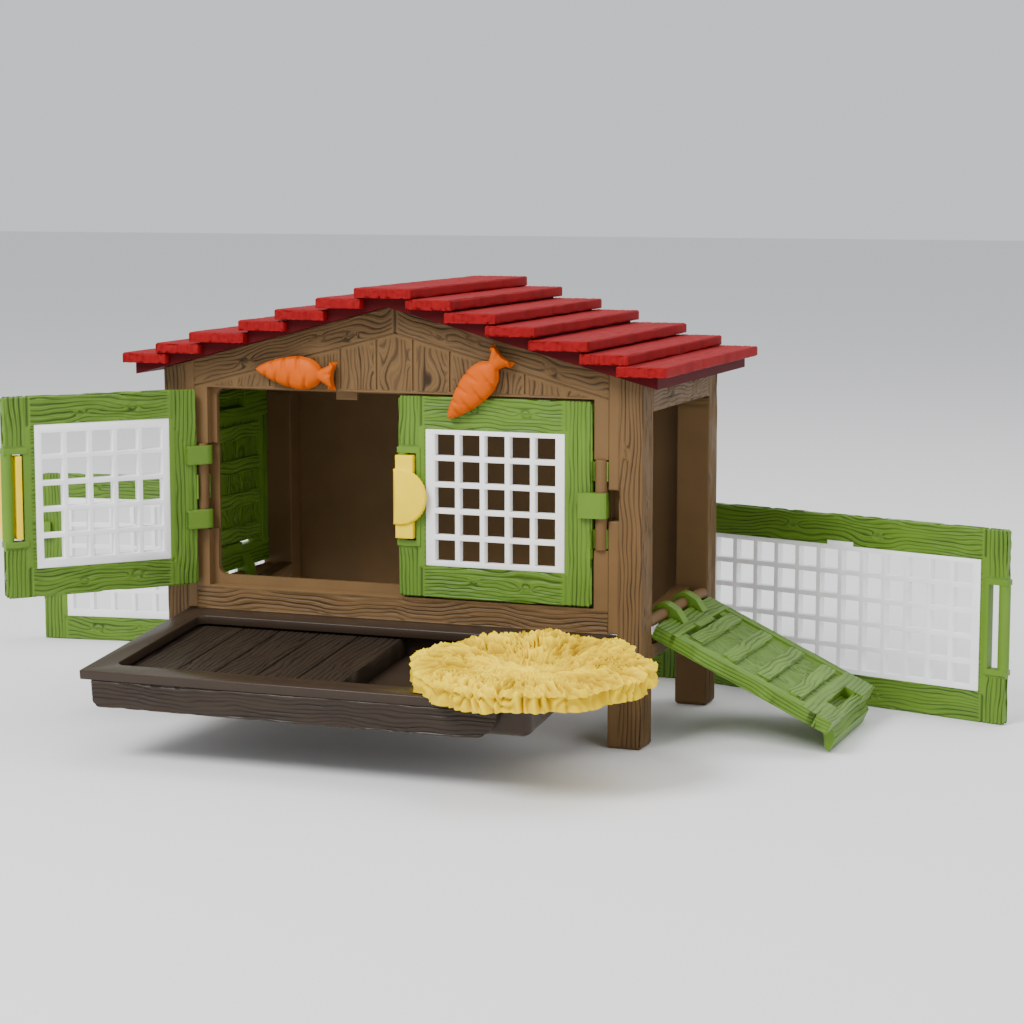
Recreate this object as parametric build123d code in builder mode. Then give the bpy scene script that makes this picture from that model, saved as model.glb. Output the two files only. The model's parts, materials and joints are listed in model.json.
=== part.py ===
from build123d import *
import os
from math import cos, pi, radians, sin

# Toy rabbit hutch: a gabled house on four legs with two grille doors, two drop ramps,
# a pull-out tray with a straw mat, and a four-panel folding run standing behind it.
# Millimetres. Origin: floor level, middle of the house front. +X right, +Y back, +Z up.

os.makedirs("parts", exist_ok=True)

# ---- house ----
HOUSE_HALF_W = 81.5
HOUSE_D = 81.0
POST_W = 11.0
POST_D = (10.5, 10.0)
WALL_HALF_W = HOUSE_HALF_W - POST_W
WALL_T = 5.0
BACK_WALL_T = 3.0
BACK_WALL_BOTTOM = 30.0
APEX_Z = 135.1
ROOF_SLOPE = 0.262
RAIL_BOTTOM_Z = 35.0
RAIL_CLEAR = 0.12
DOORWAY_HALF_W = 65.9
DOORWAY_Z = (43.4, 107.9)
DOORWAY_DEPTH = 2.9
LIP_BOTTOM = 3.2
LIP_TOP = 0.6
LIP_SIDE = 1.9
LIP_CORNER_R = 2.5
STOP_X = 18.3
STOP_SIZE = (7.2, 3.0, 1.4)
GROOVE_W = 0.7
GROOVE_D = 0.5
PLANK_PITCH = 12.4
BARGE_W = 8.8
LINTEL_BOTTOM_Z = 103.8
LINTEL_T = 4.5
SIDE_RAIL_T = 5.5
SIDE_RAIL_Z = (27.0, 31.5)
FOOT_CHAMFER = 0.8

# ---- roof: inner edge, outer edge and top of each board on one slope ----
ROOF_BOARDS = [
    (7.5, 22.6, 137.75),
    (20.1, 37.0, 133.9),
    (34.0, 50.0, 130.2),
    (47.8, 67.0, 126.2),
    (64.0, 79.4, 122.4),
    (75.9, 91.6, 119.0),
]
BOARD_T = 3.3
BOARD_Y = (-10.0, 93.4)
BOARD_STAGGER = 0.5
RIDGE_HALF_W = 9.6
RIDGE_Z = (137.8, 141.05)
SHELL_Y = (-6.5, 90.5)
SHELL_HALF_W = 88.0

# ---- grille panels: u runs from the hinge axis to the free edge, w is the outer side ----
PITCH = 8.3
HOLE = 6.7
ROWS = 5
FIRST_HOLE = 14.5
ROD_BEYOND = 11.05
FREE_EDGE = 1.3
PANEL_H = 63.4
PANEL_T = 3.2
PANEL_START = 2.6
PANEL_CORNER_R = 1.2
PANEL_BEVEL = 0.4
GRID_SIDE = 3.1
GRID_STEP = 0.6
GRID_T = 3.0
GRID_TAB = (5.0, 1.4)
ROD_R = 1.9
ROD_CLEAR = 0.05
CLIP_R = 3.35
CLIP_REACH = 6.6
CLIP_MOUTH = 0.6
MIDDLE_CLIP_HALF = 3.9
REAR_CLIP_V = 10.4
REAR_CLIP_HALF = 3.0
CLIP_CUT = 2.3
SLOT_HALF_V = 13.8
SLOT_U = 4.85
BAND_W = 1.8
BAND_U = (6.2, 1.6)
BAND_PROUD = 0.3
PANEL_MID_Z = 75.6
DOOR_HINGE = (68.1, 0.6)
DOOR_COLUMNS = 5
LONG_COLUMNS = 12
LEFT_DOOR_OPEN = 130.4
HINGE_NOTCH_INNER_X = 60.0
HINGE_NOTCH_HALF = 14.0
HINGE_NOTCH_DEPTH = 4.3
CLIP_POCKET = (3.3, 5.0, 4.8)

# ---- latches ----
LATCH_HALF_V = 13.1
LATCH_LEG_U = (4.25, 2.4)
LATCH_LEG_W = -1.9
LATCH_OUT_U = 1.6
THUMB_OUT_U = 2.2
LATCH_PLATE_W = (0.9, 3.4)
THUMB_R = 9.0
THUMB_T = 1.4
LATCH_BORE_R = 1.96

# ---- carrot turn-buttons ----
CARROT_X = 30.1
CARROT_Z = 113.4
CARROT_BACK_Y = -1.4
CARROT_T = 3.6
CARROT_BOSS_R = 3.5
CARROT_PIN_R = 1.5
CARROT_PIN_L = 6.2
CARROT_TIP = 16.7
CARROT_BODY = ((13.8, 2.2), (8.6, 4.1), (2.2, 5.2), (-2.4, 4.5))
CARROT_NECK = (-5.6, 1.9)
CARROT_LEAF = (-10.9, 4.5)
CARROT_LEAF_DENT = 1.2
RIGHT_CARROT_DIP = 48.0
LEFT_CARROT_DIP = -3.7

# ---- ramps: u runs down the ramp from its hinge axis, w is the walking side ----
RAMP_HINGE = (79.6, 38.2)
RAMP_MID_Y = 40.75
RAMP_SLOPE = 25.2
RAMP_HALF_W = 29.5
RAMP_U = (3.1, 64.9)
RAMP_W = (-3.7, 0.5)
RAMP_FIELD_U = (10.4, 54.5)
RAMP_FIELD_HALF_W = 24.9
RAMP_FIELD_W = -0.3
RAMP_UNDER_W = -2.4
CLEATS = 4
CLEAT_FIRST_U = 15.2
CLEAT_PITCH = 11.6
CLEAT_SIZE = (5.0, 46.0)
CLEAT_TOP = 0.9
HANDLE_U = (58.4, 61.4)
HANDLE_HALF_W = 12.5
HANDLE_FLOOR_W = -2.7
TOP_SLOT_U = (10.4, 11.9)
TOP_SLOT_V = (8.0, 19.0)
TOP_TAB = (9.4, 12.0, 0.9)
HANDLE_BAR_R = 1.8
HOOK_V = 10.75
HOOK_HALF = 2.6
HOOK_R = 3.5
HOOK_REACH = 7.4
HOOK_MOUTH = 1.2
LIP_HALF_W = 23.0

# ---- tray ----
TRAY_SLOPE = 6.3
TRAY_REAR_EDGE = (0, -0.3, 35.6)
TRAY_D = 71.5
TRAY_HALF_W = 73.4
RIM_T = 2.9
RIM_W = 8.0
BASIN_HALF_W = 69.6
BASIN_Y = (-68.0, -2.0)
BASIN_BOTTOM = -11.4
BASIN_WALL = 1.8
BASIN_CORNER_R = 3.0
BASIN_BOTTOM_R = 2.6
FRONT_BOARD_X = (-69.8, 61.1)
FRONT_BOARD_CORNER_R = (2.5, 8.0)
DECK_TOP = -3.6
DECK_T = 1.8
DECK_RIGHT = 4.8
DECK_GAPS = [-50.0, -37.5, -23.6, -10.0]
RUNNER_X = (69.9, 75.5)
RUNNER_TOP = -3.2
RUNNER_T = 2.0
RIM_CLEAR = 0.2
RIM_LIP = 0.9

# ---- straw mat ----
STRAW_MID = (64.0, -52.0)
STRAW_HALF = (36.0, 31.5)
STRAW_LOBES = 9
STRAW_WAVE = 0.04
STRAW_W = (0.35, 8.0)
STRAW_BED = 3.4
STRAW_RING = 0.45

# ---- run ----
RUN_HINGE = (-128.5, 113.6)
RUN_LEFT_YAW = 8.7
RUN_RIGHT_YAW = -17.1

TRAY_TILT = radians(TRAY_SLOPE)
TRAY_PLANE = Plane(
    origin=TRAY_REAR_EDGE,
    x_dir=(1, 0, 0),
    z_dir=(0, -sin(TRAY_TILT), cos(TRAY_TILT)),
)
ROOF_PLANES = [
    Plane(origin=(0, 0, APEX_Z), x_dir=(0, 1, 0), z_dir=(side * ROOF_SLOPE, 0, 1))
    for side in (-1, 1)
]


def write(part, name):
    part.label = name
    export_step(part, f"parts/{name}.step")


def roof_z(x):
    """Height of the roof's underside at this distance from the middle."""
    return APEX_Z - ROOF_SLOPE * abs(x)


def slab(plane, low, high):
    """A box between two corners given in the plane's own coordinates."""
    with BuildPart() as piece:
        with BuildSketch(plane.offset(low[2])):
            with Locations(((low[0] + high[0]) / 2, (low[1] + high[1]) / 2)):
                Rectangle(high[0] - low[0], high[1] - low[1])
        extrude(amount=high[2] - low[2])
    return piece.part


def sided(side, inner, outer, low, high):
    """A box from inner to outer |x| on one side; low and high are its (y, z) corners."""
    x0, x1 = sorted((side * inner, side * outer))
    return slab(Plane.XY, (x0, *low), (x1, *high))


def across(plane, u=0.0, v=0.0, w=0.0):
    """The plane seen along its v: local x stays u, local y becomes w."""
    return Plane(
        origin=plane.from_local_coords((u, v, w)), x_dir=plane.x_dir, z_dir=-plane.y_dir
    )


# ================= house =================

with BuildPart() as front_wall:
    add(slab(Plane.XY, (-WALL_HALF_W, 0, RAIL_BOTTOM_Z), (WALL_HALF_W, WALL_T, APEX_Z)))
    with BuildSketch(Plane.XZ):
        with Locations((0, sum(DOORWAY_Z) / 2)):
            Rectangle(2 * DOORWAY_HALF_W, DOORWAY_Z[1] - DOORWAY_Z[0])
    extrude(amount=-DOORWAY_DEPTH, mode=Mode.SUBTRACT)
    with BuildSketch(Plane.XZ):
        with Locations((0, (sum(DOORWAY_Z) + LIP_BOTTOM - LIP_TOP) / 2)):
            RectangleRounded(
                2 * (DOORWAY_HALF_W - LIP_SIDE),
                DOORWAY_Z[1] - DOORWAY_Z[0] - LIP_BOTTOM - LIP_TOP,
                LIP_CORNER_R,
            )
    extrude(amount=-2 * WALL_T, mode=Mode.SUBTRACT)
    for side in (-1, 1):
        add(
            slab(
                Plane.XY,
                (side * STOP_X - STOP_SIZE[0] / 2, WALL_T - STOP_SIZE[2], DOORWAY_Z[1] - STOP_SIZE[1]),
                (side * STOP_X + STOP_SIZE[0] / 2, WALL_T, DOORWAY_Z[1]),
            )
        )
        # gap round the door's hinge rod and clips
        add(
            sided(
                side,
                HINGE_NOTCH_INNER_X,
                WALL_HALF_W + 1,
                (-1, PANEL_MID_Z - HINGE_NOTCH_HALF),
                (HINGE_NOTCH_DEPTH, PANEL_MID_Z + HINGE_NOTCH_HALF),
            ),
            mode=Mode.SUBTRACT,
        )
        # joint under the barge board
        with BuildSketch(Plane.XZ):
            with BuildLine():
                Polyline(
                    (0, APEX_Z - BARGE_W),
                    (side * WALL_HALF_W, roof_z(WALL_HALF_W) - BARGE_W),
                    (side * WALL_HALF_W, roof_z(WALL_HALF_W) - BARGE_W + GROOVE_W),
                    (0, APEX_Z - BARGE_W + GROOVE_W),
                    close=True,
                )
            make_face()
        extrude(amount=-GROOVE_D, mode=Mode.SUBTRACT)
    # joints of the gable's upright planks
    for step in range(-4, 4):
        x = (step + 0.5) * PLANK_PITCH
        add(
            slab(
                Plane.XY,
                (x - GROOVE_W / 2, -1, DOORWAY_Z[1] + 0.9),
                (x + GROOVE_W / 2, GROOVE_D, roof_z(x) - BARGE_W),
            ),
            mode=Mode.SUBTRACT,
        )
    with BuildSketch(Plane.XZ):
        with Locations((-CARROT_X, CARROT_Z), (CARROT_X, CARROT_Z)):
            Circle(CARROT_PIN_R + 0.06)
    extrude(amount=-2 * WALL_T, mode=Mode.SUBTRACT)
    for roof_plane in ROOF_PLANES:
        split(bisect_by=roof_plane, keep=Keep.BOTTOM)
    split(bisect_by=TRAY_PLANE.offset(RAIL_CLEAR), keep=Keep.TOP)
write(front_wall.part, "front_wall")

with BuildPart() as back_wall:
    add(
        slab(
            Plane.XY,
            (-WALL_HALF_W, HOUSE_D - BACK_WALL_T, BACK_WALL_BOTTOM),
            (WALL_HALF_W, HOUSE_D, APEX_Z),
        )
    )
    for step in range(-5, 6):
        x = step * PLANK_PITCH
        add(
            slab(
                Plane.XY,
                (x - GROOVE_W / 2, HOUSE_D - GROOVE_D, DOORWAY_Z[0]),
                (x + GROOVE_W / 2, HOUSE_D + 1, roof_z(x) - BARGE_W),
            ),
            mode=Mode.SUBTRACT,
        )
    add(
        slab(
            Plane.XY,
            (-WALL_HALF_W, HOUSE_D - GROOVE_D, DOORWAY_Z[0] - GROOVE_W),
            (WALL_HALF_W, HOUSE_D + 1, DOORWAY_Z[0]),
        ),
        mode=Mode.SUBTRACT,
    )
    for roof_plane in ROOF_PLANES:
        split(bisect_by=roof_plane, keep=Keep.BOTTOM)
write(back_wall.part, "back_wall")


def post(side, y0, y1):
    """One corner post, a leg below and a jamb above, with its foot bevelled."""
    with BuildPart() as piece:
        add(sided(side, WALL_HALF_W, HOUSE_HALF_W, (y0, 0), (y1, APEX_Z)))
        chamfer(piece.edges().group_by(Axis.Z)[0], length=FOOT_CHAMFER)
    return piece.part


def make_side_frame(side, name):
    """Front post, rear post, lintel and low rail round one side doorway."""
    rear_y = HOUSE_D - POST_D[1]
    with BuildPart() as frame:
        add(post(side, 0, POST_D[0]))
        add(post(side, rear_y, HOUSE_D))
        add(
            sided(
                side,
                HOUSE_HALF_W - LINTEL_T,
                HOUSE_HALF_W,
                (POST_D[0] - 1, LINTEL_BOTTOM_Z),
                (rear_y + 1, APEX_Z),
            )
        )
        add(
            sided(
                side,
                HOUSE_HALF_W - SIDE_RAIL_T,
                HOUSE_HALF_W,
                (POST_D[0] - 1, SIDE_RAIL_Z[0]),
                (rear_y + 1, SIDE_RAIL_Z[1]),
            )
        )
        # pocket for the middle clip of the door
        add(
            sided(
                side,
                WALL_HALF_W - 1,
                WALL_HALF_W + CLIP_POCKET[0],
                (-1, PANEL_MID_Z - CLIP_POCKET[2]),
                (CLIP_POCKET[1], PANEL_MID_Z + CLIP_POCKET[2]),
            ),
            mode=Mode.SUBTRACT,
        )
        # channel that the tray's rim slides in
        x0, x1 = sorted((side * (WALL_HALF_W - 1), side * (TRAY_HALF_W + RIM_CLEAR)))
        add(
            slab(TRAY_PLANE, (x0, -2, -RIM_T - RIM_CLEAR), (x1, POST_D[0] + 1.2, RIM_CLEAR)),
            mode=Mode.SUBTRACT,
        )
        for roof_plane in ROOF_PLANES:
            split(bisect_by=roof_plane, keep=Keep.BOTTOM)
    write(frame.part, name)


def make_upright_rod(side, name):
    """The fixed rod that a door's clips turn on."""
    with BuildPart() as rod:
        with BuildSketch(Plane.XY.offset(PANEL_MID_Z)):
            with Locations((side * DOOR_HINGE[0], DOOR_HINGE[1])):
                Circle(ROD_R)
        extrude(amount=HINGE_NOTCH_HALF, both=True)
    write(rod.part, name)


def make_ramp_rod(side, name):
    """The fixed rod between two posts that a ramp's hooks turn on."""
    with BuildPart() as rod:
        with BuildSketch(Plane.XZ.offset(-POST_D[0])):
            with Locations((side * RAMP_HINGE[0], RAMP_HINGE[1])):
                Circle(ROD_R)
        extrude(amount=-(HOUSE_D - POST_D[0] - POST_D[1]))
    write(rod.part, name)


def make_runner(side, name):
    """The sloping ledge between two posts that carries the tray's rim."""
    x0, x1 = sorted((side * RUNNER_X[0], side * RUNNER_X[1]))
    with BuildPart() as runner:
        add(slab(TRAY_PLANE, (x0, 0, RUNNER_TOP - RUNNER_T), (x1, HOUSE_D, RUNNER_TOP)))
        add(
            slab(Plane.XY, (x0, POST_D[0], 0), (x1, HOUSE_D - POST_D[1], APEX_Z)),
            mode=Mode.INTERSECT,
        )
    write(runner.part, name)


for side, word in ((-1, "left"), (1, "right")):
    make_side_frame(side, f"side_frame_{word}")
    make_upright_rod(side, f"door_rod_{word}")
    make_ramp_rod(side, f"ramp_rod_{word}")
    make_runner(side, f"tray_runner_{word}")

# ================= roof =================

with BuildPart() as roof_shell:
    with BuildSketch(Plane.XZ.offset(-SHELL_Y[0])):
        with BuildLine():
            steps = [(0, RIDGE_Z[0]), (ROOF_BOARDS[0][0], RIDGE_Z[0])]
            for index, (inner, outer, top) in enumerate(ROOF_BOARDS):
                last = index + 1 == len(ROOF_BOARDS)
                end = SHELL_HALF_W if last else ROOF_BOARDS[index + 1][0]
                steps += [(inner, top - BOARD_T), (end, top - BOARD_T)]
            steps += [(SHELL_HALF_W, roof_z(SHELL_HALF_W)), (0, APEX_Z)]
            Polyline(*steps, close=True)
        make_face()
    extrude(amount=-(SHELL_Y[1] - SHELL_Y[0]))
    mirror(about=Plane.YZ)
write(roof_shell.part, "roof_shell")


def make_roof_board(x0, x1, z0, z1, stagger, name):
    """One flat board lying from front to back, its long edges slightly eased."""
    with BuildPart() as board:
        add(slab(Plane.XY, (x0, BOARD_Y[0] + stagger, z0), (x1, BOARD_Y[1] - stagger, z1)))
        chamfer(board.edges().group_by(Axis.Z)[-1], length=0.35)
    write(board.part, name)


make_roof_board(-RIDGE_HALF_W, RIDGE_HALF_W, RIDGE_Z[0], RIDGE_Z[1], 0, "ridge_board")
for index, (inner, outer, top) in enumerate(ROOF_BOARDS):
    for side, word in ((-1, "left"), (1, "right")):
        x0, x1 = sorted((side * inner, side * outer))
        shift = BOARD_STAGGER * ((index + (side > 0)) % 3)
        make_roof_board(x0, x1, top - BOARD_T, top, shift, f"roof_board_{word}_{index + 1}")

# ================= grille panels =================


def rod_axis(columns):
    """Distance from a panel's hinge axis to the rod at its free end."""
    return FIRST_HOLE + (columns - 1) * PITCH + HOLE + ROD_BEYOND


def clip(plane, v, half, side):
    """A C-shaped clip round the hinge axis, standing out on one side of the panel."""
    with BuildPart() as ring:
        with BuildSketch(across(plane, v=v)):
            Circle(CLIP_R)
            with Locations((CLIP_REACH / 2, side * CLIP_R / 2)):
                Rectangle(CLIP_REACH, CLIP_R)
            Circle(ROD_R + ROD_CLEAR, mode=Mode.SUBTRACT)
            with Locations((PANEL_START, -side * CLIP_MOUTH)):
                Rectangle(
                    4 * CLIP_R,
                    2 * CLIP_R,
                    align=(Align.MAX, Align.MAX if side > 0 else Align.MIN),
                    mode=Mode.SUBTRACT,
                )
            with Locations((-CLIP_CUT, 0)):
                Rectangle(
                    2 * CLIP_R, 4 * CLIP_R, align=(Align.MAX, Align.CENTER), mode=Mode.SUBTRACT
                )
        extrude(amount=half, both=True)
    return ring.part


def grid_span(columns):
    """The grid insert's front opening: its middle and its two sides."""
    start = FIRST_HOLE - GRID_SIDE
    end = rod_axis(columns) - ROD_BEYOND + GRID_SIDE
    height = (ROWS - 1) * PITCH + HOLE + 2 * GRID_SIDE - 3.0
    return (start + end) / 2, end - start, height


def make_panel(plane, columns, frame_name, grid_name):
    """A framed grille with three clips at its hinge and a rod at its free end."""
    rod_u = rod_axis(columns)
    end_u = rod_u + FREE_EDGE
    mid_u, grid_w, grid_h = grid_span(columns)
    back_w = grid_w - 2 * GRID_STEP
    back_h = grid_h + 4 * GRID_STEP
    with BuildPart() as frame:
        with BuildSketch(plane):
            with Locations(((PANEL_START + end_u) / 2, 0)):
                RectangleRounded(end_u - PANEL_START, PANEL_H, PANEL_CORNER_R)
        extrude(amount=PANEL_T / 2, both=True)
        flat = frame.faces().sort_by(Axis(plane.origin, plane.z_dir))
        chamfer(flat[0].edges() + flat[-1].edges(), length=PANEL_BEVEL)
        with BuildSketch(plane):
            with Locations((mid_u, 0)):
                Rectangle(grid_w, grid_h)
        extrude(amount=PANEL_T, mode=Mode.SUBTRACT)
        with BuildSketch(plane):
            with Locations((mid_u, 0)):
                Rectangle(back_w, back_h)
        extrude(amount=-PANEL_T, mode=Mode.SUBTRACT)
        for v_side in (-1, 1):
            v0, v1 = sorted((v_side * SLOT_HALF_V, v_side * (SLOT_HALF_V + BAND_W)))
            half_t = PANEL_T / 2 + BAND_PROUD
            add(slab(plane, (rod_u - BAND_U[0], v0, -half_t), (rod_u + BAND_U[1], v1, half_t)))
        outline_v = SLOT_HALF_V + BAND_W
        add(slab(plane, (rod_u - BAND_U[0], -outline_v, 0), (rod_u - SLOT_U, outline_v, half_t)))
        add(
            slab(plane, (rod_u - SLOT_U, -SLOT_HALF_V, -9), (end_u + 9, SLOT_HALF_V, 9)),
            mode=Mode.SUBTRACT,
        )
        with BuildSketch(across(plane)):
            with Locations((rod_u, 0)):
                Circle(ROD_R)
        extrude(amount=SLOT_HALF_V + BAND_W / 2, both=True)
        if columns == LONG_COLUMNS:
            for v_side in (-1, 1):
                v0, v1 = sorted((v_side * (grid_h / 2 - 0.1), v_side * (grid_h / 2 + GRID_TAB[1])))
                recess = slab(plane, (mid_u - GRID_TAB[0], v0, 0), (mid_u + GRID_TAB[0], v1, 9))
                add(recess, mode=Mode.SUBTRACT)
        add(clip(plane, 0, MIDDLE_CLIP_HALF, 1))
        add(clip(plane, -REAR_CLIP_V, REAR_CLIP_HALF, -1))
        add(clip(plane, REAR_CLIP_V, REAR_CLIP_HALF, -1))
    write(frame.part, frame_name)

    with BuildPart() as grid:
        with BuildSketch(plane):
            with Locations((mid_u, 0)):
                Rectangle(grid_w, grid_h)
        extrude(amount=GRID_T / 2)
        with BuildSketch(plane):
            with Locations((mid_u, 0)):
                Rectangle(back_w, back_h)
        extrude(amount=-GRID_T / 2)
        if columns == LONG_COLUMNS:
            reach = grid_h / 2 + GRID_TAB[1]
            tab = (mid_u - GRID_TAB[0], -reach, 0)
            add(slab(plane, tab, (mid_u + GRID_TAB[0], reach, GRID_T / 2)))
        with BuildSketch(plane):
            with Locations((FIRST_HOLE + (columns - 1) * PITCH / 2 + HOLE / 2, 0)):
                with GridLocations(PITCH, PITCH, columns, ROWS):
                    Rectangle(HOLE, HOLE)
        extrude(amount=PANEL_T, both=True, mode=Mode.SUBTRACT)
    write(grid.part, grid_name)


def make_latch(plane, name):
    """A thumb latch that swivels on the rod at a door's free end."""
    rod_u = rod_axis(DOOR_COLUMNS)
    thumb_w = LATCH_PLATE_W[1]
    with BuildPart() as latch:
        with BuildSketch(across(plane)):
            with BuildLine():
                Polyline(
                    (rod_u - LATCH_LEG_U[0], LATCH_LEG_W),
                    (rod_u - LATCH_LEG_U[1], LATCH_LEG_W),
                    (rod_u - LATCH_LEG_U[1], LATCH_PLATE_W[0]),
                    (rod_u + LATCH_OUT_U, LATCH_PLATE_W[0]),
                    (rod_u + LATCH_OUT_U, thumb_w),
                    (rod_u - LATCH_LEG_U[0], thumb_w),
                    close=True,
                )
            make_face()
            with Locations((rod_u, 0)):
                Circle(LATCH_BORE_R, mode=Mode.SUBTRACT)
        extrude(amount=LATCH_HALF_V, both=True)
        with BuildSketch(plane.offset(thumb_w)):
            with Locations((rod_u, 0)):
                Circle(THUMB_R)
            with Locations((rod_u + THUMB_OUT_U, 0)):
                Rectangle(
                    THUMB_R, 3 * THUMB_R, align=(Align.MIN, Align.CENTER), mode=Mode.SUBTRACT
                )
        extrude(amount=THUMB_T)
        top = latch.faces().sort_by(Axis(plane.origin, plane.z_dir))[-1]
        chamfer(top.edges(), length=0.5)
    write(latch.part, name)


def upright_panel(x, y, z, yaw, outward):
    """A panel's plane: u at this yaw from +X, w to the right of u (+1) or its left (-1)."""
    a = radians(yaw)
    return Plane(
        origin=(x, y, z),
        x_dir=(cos(a), sin(a), 0),
        z_dir=(outward * sin(a), -outward * cos(a), 0),
    )


DOOR_RIGHT = upright_panel(DOOR_HINGE[0], DOOR_HINGE[1], PANEL_MID_Z, 180, -1)
DOOR_LEFT = upright_panel(-DOOR_HINGE[0], DOOR_HINGE[1], PANEL_MID_Z, -LEFT_DOOR_OPEN, 1)
make_panel(DOOR_RIGHT, DOOR_COLUMNS, "door_right_frame", "door_right_grid")
make_panel(DOOR_LEFT, DOOR_COLUMNS, "door_left_frame", "door_left_grid")
make_latch(DOOR_RIGHT, "latch_right")
make_latch(DOOR_LEFT, "latch_left")

SHORT_ROD = rod_axis(DOOR_COLUMNS)
LONG_ROD = rod_axis(LONG_COLUMNS)
RUN_Z = PANEL_H / 2
left_yaw = radians(RUN_LEFT_YAW)
RUN_PANELS = [
    (
        RUN_HINGE[0] - SHORT_ROD * cos(left_yaw),
        RUN_HINGE[1] - SHORT_ROD * sin(left_yaw),
        RUN_LEFT_YAW,
        -1,
        DOOR_COLUMNS,
    ),
    (RUN_HINGE[0], RUN_HINGE[1], 0, -1, LONG_COLUMNS),
    (RUN_HINGE[0] + LONG_ROD, RUN_HINGE[1], 0, -1, DOOR_COLUMNS),
    (RUN_HINGE[0] + LONG_ROD + SHORT_ROD, RUN_HINGE[1], RUN_RIGHT_YAW, 1, LONG_COLUMNS),
]
for number, (x, y, yaw, outward, columns) in enumerate(RUN_PANELS, start=1):
    make_panel(
        upright_panel(x, y, RUN_Z, yaw, outward),
        columns,
        f"fence_{number}_frame",
        f"fence_{number}_grid",
    )

# ================= carrot turn-buttons =================


def make_carrot(x, dip, name):
    """A flat carrot on a pin; dip is how far its tip points below -X."""
    a = radians(dip)
    face = Plane(
        origin=(x, CARROT_BACK_Y, CARROT_Z), x_dir=(-cos(a), 0, -sin(a)), z_dir=(0, -1, 0)
    )
    lower = [(u, -v) for u, v in (CARROT_NECK, *reversed(CARROT_BODY))]
    leaf_low = (CARROT_LEAF[0], -CARROT_LEAF[1])
    with BuildPart() as carrot:
        with BuildSketch(face):
            with BuildLine():
                Spline(*lower, (CARROT_TIP, 0), *CARROT_BODY, CARROT_NECK)
                Line(CARROT_NECK, CARROT_LEAF)
                ThreePointArc(CARROT_LEAF, (CARROT_LEAF[0] + CARROT_LEAF_DENT, 0), leaf_low)
                Line(leaf_low, lower[0])
            make_face()
        extrude(amount=CARROT_T)
        front = carrot.faces().sort_by(Axis.Y)[0]
        chamfer(front.edges(), length=0.6)
        with BuildSketch(face):
            Circle(CARROT_BOSS_R)
        extrude(amount=CARROT_BACK_Y + 0.1)
        with BuildSketch(face):
            Circle(CARROT_PIN_R)
        extrude(amount=-CARROT_PIN_L)
    write(carrot.part, name)


make_carrot(CARROT_X, RIGHT_CARROT_DIP, "carrot_right")
make_carrot(-CARROT_X, LEFT_CARROT_DIP, "carrot_left")

# ================= ramps =================


def hook(plane, v):
    """A hook over the hinge rod, its foot on the ramp's top board."""
    with BuildPart() as ring:
        with BuildSketch(across(plane, v=v)):
            Circle(HOOK_R)
            with BuildLine():
                Polyline(
                    (0, 0),
                    (HOOK_REACH, 0),
                    (HOOK_REACH, RAMP_W[1] + 0.2),
                    (HOOK_R, HOOK_R - 0.4),
                    (0, HOOK_R),
                    close=True,
                )
            make_face()
            Circle(ROD_R + ROD_CLEAR, mode=Mode.SUBTRACT)
            with Locations((RAMP_U[0] + 0.2, -HOOK_MOUTH)):
                Rectangle(
                    4 * HOOK_R, 2 * HOOK_R, align=(Align.MAX, Align.MAX), mode=Mode.SUBTRACT
                )
        extrude(amount=HOOK_HALF, both=True)
    return ring.part


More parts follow.
